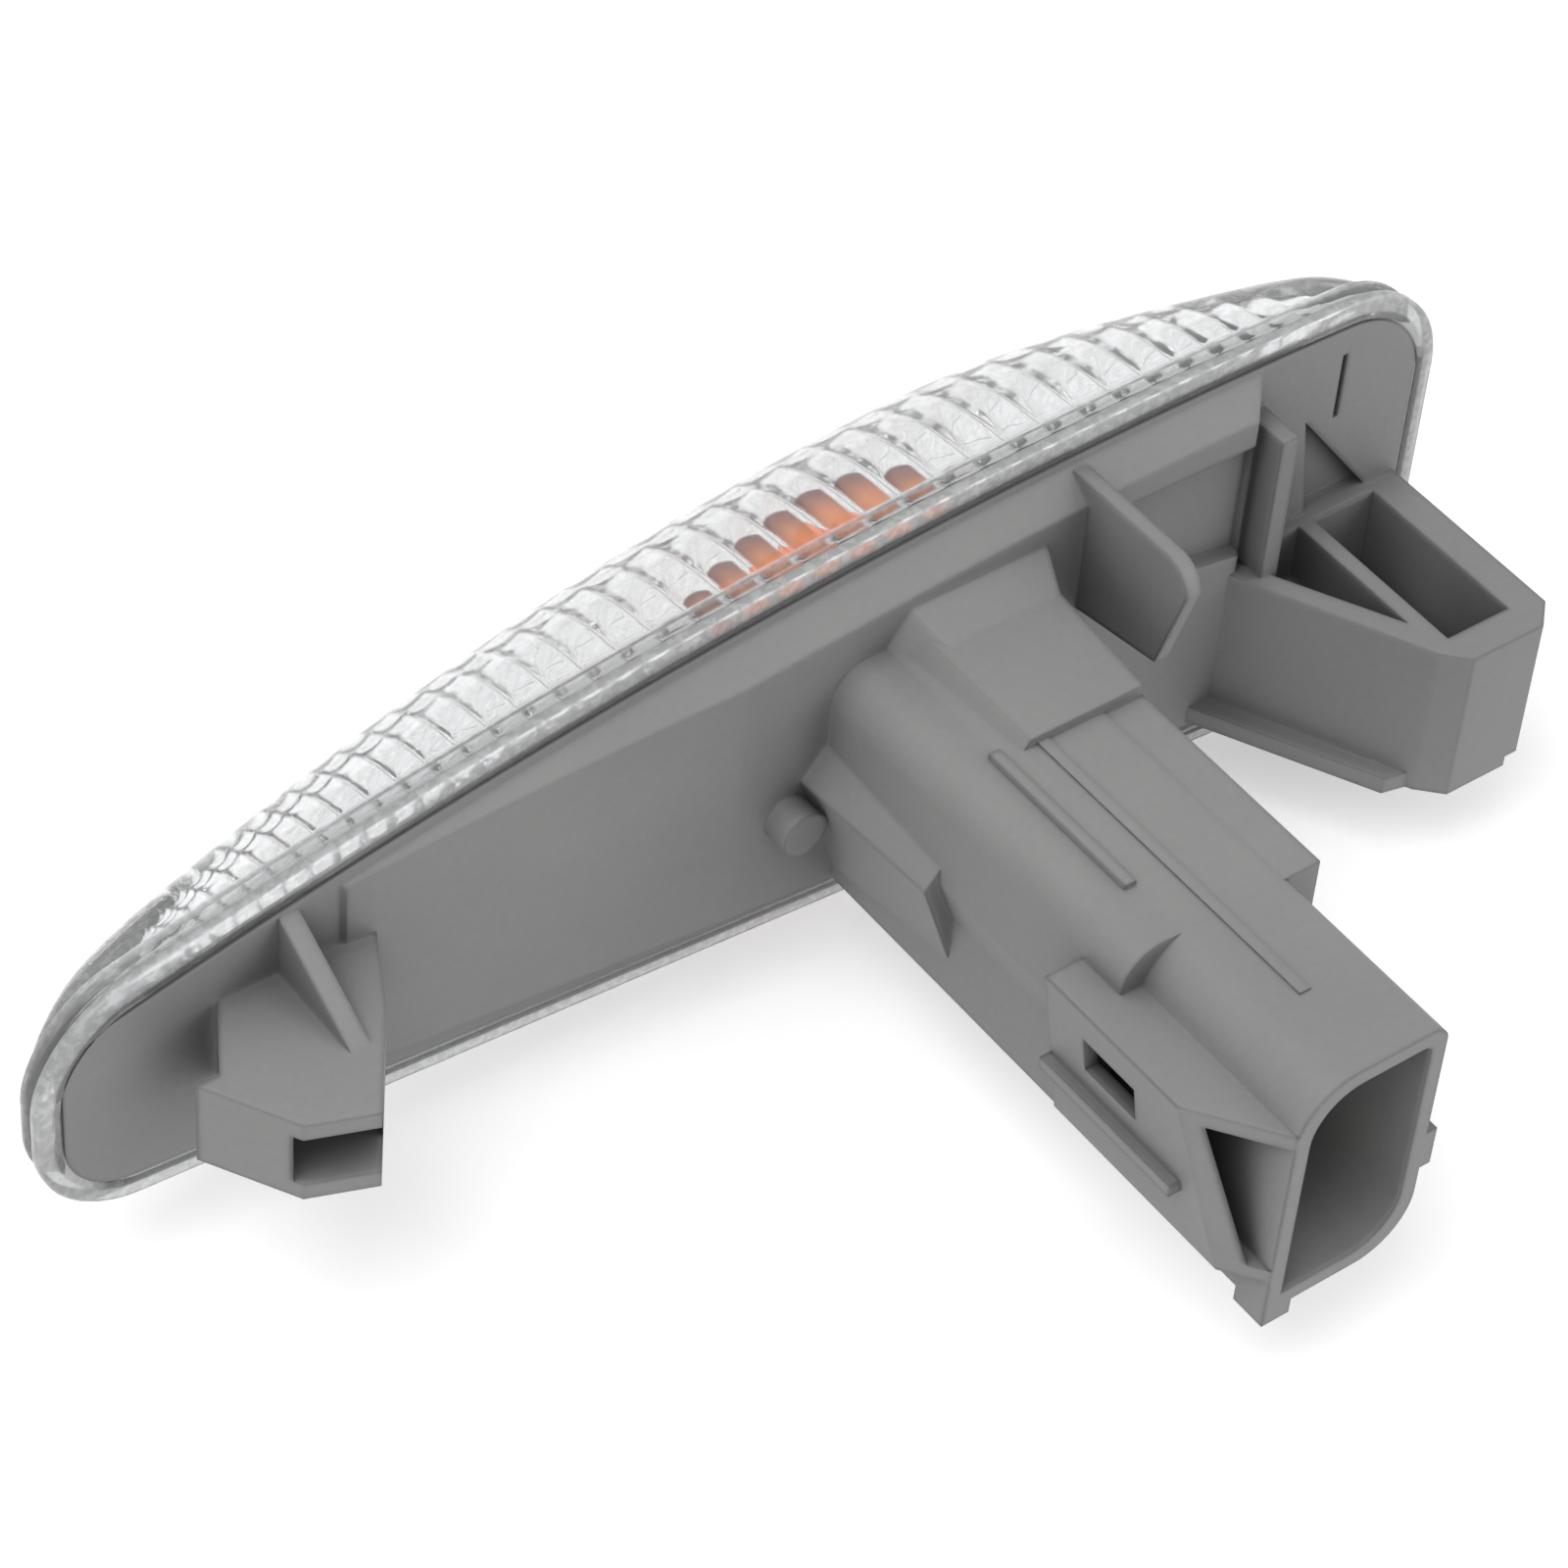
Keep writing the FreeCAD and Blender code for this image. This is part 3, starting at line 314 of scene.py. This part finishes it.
def capped(skin):
    """Rows of points round a tube, with the first and last row also drawn in to their middles."""
    ends = skin[[0, -1]].mean(axis=1, keepdims=True) + 0 * skin[[0, -1]]
    return np.concatenate([ends[:1], skin, ends[1:]])


def make_bulb():
    """The glass: rounds at the tip that flatten to a squarish pinched base, and a hollow one wall in."""
    turn = np.linspace(0.0, 2 * np.pi, BULB_SIDES, endpoint=False)[None, :]
    points, quads, first = [], [], 0
    for inset in (0.0, GLASS):
        wide, thick, square, y = (values[:, None] for values in bulb_rows(inset))
        x = BULB_X + wide * signed_power(np.cos(turn), 2 / square)
        z = BULB_Z + thick * signed_power(np.sin(turn), 2 / square)
        skin = capped(np.stack([x, y + 0 * turn, z], axis=2))
        points.append(skin.reshape(-1, 3))
        quads.append(grid_quads(len(skin), BULB_SIDES, first, wrap=True, flip=inset == 0))
        first += len(skin) * BULB_SIDES
    return mesh_object("bulb_amber", np.concatenate(points), np.concatenate(quads))


def make_filament():
    """The filament: a round wire along a helix about the line between the two leads."""
    along = np.linspace(-0.5, 0.5, COIL_TURNS * TURN_STEPS + 1)[:, None]
    round_wire = np.linspace(0.0, 2 * np.pi, WIRE_SIDES, endpoint=False)[None, :]
    swing = 2 * np.pi * COIL_TURNS * along
    reach = COIL_ROUND + WIRE_ROUND * np.cos(round_wire)
    x = BULB_X + COIL_LONG * along + WIRE_ROUND * np.sin(round_wire)
    y, z = FILAMENT_Y + reach * np.cos(swing), BULB_Z + reach * np.sin(swing)
    skin = capped(np.stack([x, y, z], axis=2))
    quads = grid_quads(len(skin), WIRE_SIDES, wrap=True, flip=True)
    return mesh_object("filament_coil", skin.reshape(-1, 3), quads)


class Sock:
    """A shader value that can be written in sums and products; each one becomes a node of its tree."""

    def __init__(self, tree, socket=None):
        self.tree = tree
        self.socket = socket

    def make(self, kind, settings=(), inputs=(), out=0):
        """Add a node of a kind, set its options, then its inputs, and give one output, by name or number."""
        node = self.tree.nodes.new(kind)
        for key, value in dict(settings).items():
            setattr(node, key, value)
        for key, value in dict(inputs).items():
            if isinstance(value, Sock):
                self.tree.links.new(value.socket, node.inputs[key])
            else:
                node.inputs[key].default_value = value
        return Sock(self.tree, node.outputs[out])

    def noise(self, scale, detail):
        """Noise at this place."""
        return self.make("ShaderNodeTexNoise", inputs={"Vector": self, "Scale": scale, "Detail": detail})

    def parts(self):
        """The three components of this vector."""
        node = self.make("ShaderNodeSeparateXYZ", inputs={0: self}).socket.node
        return [Sock(self.tree, output) for output in node.outputs]

    def math(self, operation, *others):
        """A Math node of this value and others."""
        inputs = dict(enumerate((self,) + others))
        return self.make("ShaderNodeMath", {"operation": operation}, inputs)

    def most(self, other):
        """The larger of this value and another."""
        return self.math("MAXIMUM", other)

    def ramp(self, low, high):
        """This value mapped smoothly from 0 at the low mark to 1 at the high mark."""
        smoothly = {"interpolation_type": "SMOOTHSTEP"}
        return self.make("ShaderNodeMapRange", smoothly, {"Value": self, "From Min": low, "From Max": high})

    def mix(self, first, second):
        """A colour between two, by this value; 6, 7 and 2 are the colour sockets of the Mix node."""
        return self.make("ShaderNodeMix", {"data_type": "RGBA"}, {0: self, 6: first, 7: second}, 2)

    def __add__(self, other):
        return self.math("ADD", other)

    __radd__ = __add__

    def __mul__(self, other):
        return self.math("MULTIPLY", other)

    __rmul__ = __mul__

    def __sub__(self, other):
        return self.math("SUBTRACT", other)

    def __rsub__(self, other):
        return self.make("ShaderNodeMath", {"operation": "SUBTRACT"}, {0: other, 1: self})


def material(name):
    """A new node material: its tree as a Sock, and its shader node."""
    made = bpy.data.materials.new(name)
    made.use_nodes = True
    return made, Sock(made.node_tree), made.node_tree.nodes["Principled BSDF"]


def feed(tree, shader, **inputs):
    """Set or link the shader's inputs; underscores in the names stand for spaces."""
    for key, value in inputs.items():
        socket = shader.inputs[key.replace("_", " ")]
        if isinstance(value, Sock):
            tree.tree.links.new(value.socket, socket)
        else:
            socket.default_value = value


def grey(value, warm=0.0):
    """A neutral colour, a little warmer or cooler."""
    return (value * (1 + warm), value, value * (1 - warm), 1.0)


def housing_material():
    """Satin grey moulding with a fine grain, soft edges and painted shade that darkens its recesses.

    The side towards the lens has a bright coating."""
    made, tree, shader = material("housing_grey")
    place = tree.make("ShaderNodeTexCoord", out="Object")
    y = place.parts()[1]
    facing = tree.make("ShaderNodeNewGeometry", out="Normal").parts()[1]
    coated = (0.0 - facing).ramp(*COAT_FACING) * (1.0 - y.ramp(*COAT_END))
    cloud = place.noise(CLOUD_SCALE, 3.0)
    speck = place.noise(SPECK_SCALE, 2.0)
    tone_and_shade = cloud * (1 - SPECK_SHARE) + speck * SPECK_SHARE
    tone_and_shade = tone_and_shade.mix(grey(HOUSING_DARK), grey(HOUSING_PALE, 0.01))
    rays = {"samples": RAY_SAMPLES}
    # Painted shade: ambient occlusion darkens the grey in the recesses.
    open_share = tree.make("ShaderNodeAmbientOcclusion", rays, {"Distance": HOLLOW_REACH}, "AO")
    tone_and_shade = open_share.ramp(*HOLLOW_RAMP).mix(grey(HOLLOW_SHADE), tone_and_shade)
    edge = tree.make("ShaderNodeBevel", rays, {"Radius": EDGE_SOFT})
    relief = {"Strength": GRAIN_STRONG, "Distance": GRAIN_DEEP, "Height": speck, "Normal": edge}
    feed(tree, shader, Base_Color=coated.mix(tone_and_shade, grey(COAT_TONE)), Metallic=coated,
         Normal=tree.make("ShaderNodeBump", inputs=relief),
         Roughness=SATIN + SATIN_CLOUD * cloud - SATIN_COAT * coated)
    return made


def lens_material():
    """Clear moulded plastic, milky at the rim and nose and in mottles round the crown.

    Painted grey lines, standing for the shade in the valleys, part the flutes, and the rim's groove and its
    seat get painted shade. The flutes nearest the bulb each carry a painted amber image of the bulb, an arch
    that is tallest in the flute above the bulb and lower to both sides, with painted shade at its top and a
    painted highlight low in each flute's middle."""
    made, tree, shader = material("lens_plastic")
    phase, rise, pale_and_shade = tree.make("ShaderNodeAttribute", {"attribute_name": "form"}, out="Vector").parts()
    place = tree.make("ShaderNodeTexCoord", out="Object")
    axes = place.parts()
    length, height = axes[0], axes[2]
    mottle = place.noise(MOTTLE_SCALE, 2.0).ramp(*MOTTLE_RAMP)
    rim = 1.0 - rise.ramp(*RIM_RAMP)
    crown = rise.ramp(*CROWN_RAMP)
    nose = length.ramp(*NOSE_RAMP)
    # From the middle of each flute (0) to the line between two (0.5).
    middle = (phase.math("FRACT") - 0.5).math("ABSOLUTE")
    # Painted shade: a grey line in the valley between each two flutes.
    painted_valley_line = middle.ramp(*LINE_RAMP)
    # The painted arch of the bulb's amber image: how far a point lies below its top, which falls with the
    # distance from the bulb's flute.
    away = BULB_FLUTE - phase.math("FLOOR")
    spread = (away * ARCH_TAIL).most(away * -ARCH_NOSE)
    below = ARCH_HIGH - ARCH_FALL * (spread * spread) - ARCH_ROUND * (middle * middle) - rise
    upper_half = height.ramp(*ARCH_HEIGHT) * rise.ramp(*ARCH_FOOT)
    painted_bulb_image = below.ramp(*ARCH_EDGE) * (1.0 - middle.ramp(*ARCH_SIDE)) * upper_half
    # Painted highlight: the amber is darkest at the arch's top and brightest low in the middle of each flute.
    painted_glow = below.ramp(*GLOW_RAMP) * (1.0 - GLOW_SIDE * middle)
    amber = painted_glow.mix(ARCH_DARK, ARCH_BRIGHT)
    frost = FROST + crown * (FROST_CROWN + FROST_MOTTLE * mottle)
    for share in (painted_valley_line * FROST_LINE, rim * FROST_RIM, painted_bulb_image * ARCH_FROST, nose * FROST_NOSE):
        frost = frost.most(share)
    feed(tree, shader, Base_Color=CLEAR_TINT, Roughness=CLEAR_ROUGH + CROWN_ROUGH * crown, IOR=LENS_INDEX,
         Transmission_Weight=1.0)
    clear = Sock(tree.tree, shader.outputs[0])
    # Painted shade: the milk's paleness is low in the rim's groove and where the rim meets the seat; the
    # painted valley lines and amber arches go over it.
    white = pale_and_shade * (1 - MILK_MOTTLE + MILK_MOTTLE * mottle)
    white = white.mix(grey(MILK_DARK_AND_SHADE), grey(MILK_PALE, MILK_COOL))
    tint = painted_bulb_image.mix(painted_valley_line.mix(white, grey(LINE_SHADE)), amber)
    milk = tree.make("ShaderNodeBsdfPrincipled", inputs={"Base Color": tint, "Roughness": MILK_ROUGH})
    both = tree.make("ShaderNodeMixShader", inputs={0: frost, 1: clear, 2: milk})
    tree.tree.links.new(both.socket, made.node_tree.nodes["Material Output"].inputs[0])
    return made


def amber_material():
    """Amber bulb glass, tinted in the mass and a little milky, darker and redder at the tip."""
    made, tree, shader = material("bulb_amber")
    y = tree.make("ShaderNodeTexCoord", out="Object").parts()[1]
    tint = y.ramp(*TIP_RAMP).mix(TIP_TINT, GLASS_TINT)
    feed(tree, shader, Base_Color=tint, Roughness=GLASS_ROUGH, IOR=GLASS_INDEX,
         Transmission_Weight=GLASS_CLEAR, Emission_Color=tint, Emission_Strength=GLASS_GLOW)
    return made


def metal_material(name, colour, roughness):
    """Drawn or rolled metal with faint marks."""
    made, tree, shader = material(name)
    marks = tree.make("ShaderNodeTexCoord", out="Object").noise(MARK_SCALE, 4.0)
    feed(tree, shader, Base_Color=colour, Metallic=1.0, Roughness=roughness + MARK_ROUGH * marks)
    return made


def dress(piece, made):
    """Give a piece its material."""
    piece.data.materials.clear()
    piece.data.materials.append(made)


def seen_rays(tree):
    """1 for rays that show a surface, straight, in a reflection or through glass; 0 for those that light."""
    rays = tree.make("ShaderNodeLightPath").socket.node.outputs
    names = ("Is Camera Ray", "Is Glossy Ray", "Is Transmission Ray")
    straight, glossy, through = (Sock(tree.tree, rays[name]) for name in names)
    return straight.most(glossy).most(through)


def make_floor(height):
    """A wide pale floor under the lamp; where it is seen it is lifted towards white, with the shadow kept."""
    mesh = bpy.data.meshes.new("floor")
    sides = ((-1, -1), (1, -1), (1, 1), (-1, 1))
    mesh.from_pydata([(FLOOR_HALF * x, FLOOR_HALF * y, height) for x, y in sides], [], [(0, 1, 2, 3)])
    floor = bpy.data.objects.new("floor", mesh)
    bpy.context.scene.collection.objects.link(floor)
    made, tree, shader = material("floor_pale")
    feed(tree, shader, Base_Color=grey(FLOOR_TONE), Roughness=FLOOR_ROUGH, Specular_IOR_Level=FLOOR_SHEEN,
         Emission_Color=seen_rays(tree).mix(grey(0.0), grey(1.0)), Emission_Strength=FLOOR_LIFT)
    mesh.materials.append(made)


def make_world():
    """Even soft light; where the surroundings are seen they are white, and brightest above."""
    world = bpy.data.worlds.new("studio")
    world.use_nodes = True
    bpy.context.scene.world = world
    tree = Sock(world.node_tree)
    height = tree.make("ShaderNodeTexCoord", out="Generated").parts()[2]
    white = height.ramp(*WORLD_RAMP).mix(grey(WORLD_SIDE), grey(WORLD_TOP))
    colour = seen_rays(tree).mix(grey(WORLD_LIGHT), white)
    tree.tree.links.new(colour.socket, world.node_tree.nodes["Background"].inputs["Color"])


def add_light(name, place, target, power):
    """A square soft light aimed at a point."""
    data = bpy.data.lights.new(name, "AREA")
    data.size = LIGHT_WIDE
    data.energy = power
    light = bpy.data.objects.new(name, data)
    light.location = place
    light.rotation_euler = (Vector(target) - Vector(place)).to_track_quat("-Z", "Y").to_euler()
    bpy.context.scene.collection.objects.link(light)


def make_camera():
    """The photograph's view: from behind and above, with the horizon turned a little."""
    data = bpy.data.cameras.new("camera")
    data.lens, data.sensor_width = CAMERA_LENS, CAMERA_SENSOR
    data.clip_start, data.clip_end = CLIP_NEAR, CLIP_FAR
    camera = bpy.data.objects.new("camera", data)
    turn = Matrix((CAMERA_RIGHT, CAMERA_UP, CAMERA_BACK)).transposed().to_4x4()
    camera.matrix_world = Matrix.Translation(CAMERA_PLACE) @ turn
    bpy.context.scene.collection.objects.link(camera)
    bpy.context.scene.camera = camera


lens = make_lens()
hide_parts("lens")
dress(lens, lens_material())
bulb = make_bulb()
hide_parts("bulb_glass")
dress(bulb, amber_material())
filament = make_filament()
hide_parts("bulb_filament")
dress(filament, metal_material("tungsten", grey(0.35), roughness=0.4))
dress(nodes["housing"], housing_material())
wire = metal_material("lead_wire", grey(0.6, 0.03), roughness=0.3)
strip = metal_material("tinned_strip", grey(0.7, 0.04), roughness=0.22)
for side in ("left", "right"):
    dress(nodes["bulb_lead_" + side], wire)
for side in ("upper", "lower"):
    dress(nodes["terminal_" + side], strip)

make_floor(cad_box[0][2] - FLOOR_GAP)
make_world()
add_light("key", KEY_PLACE, KEY_TARGET, KEY_POWER)
add_light("fill", FILL_PLACE, FILL_TARGET, FILL_POWER)
make_camera()
bpy.context.scene.view_settings.view_transform = "Standard"
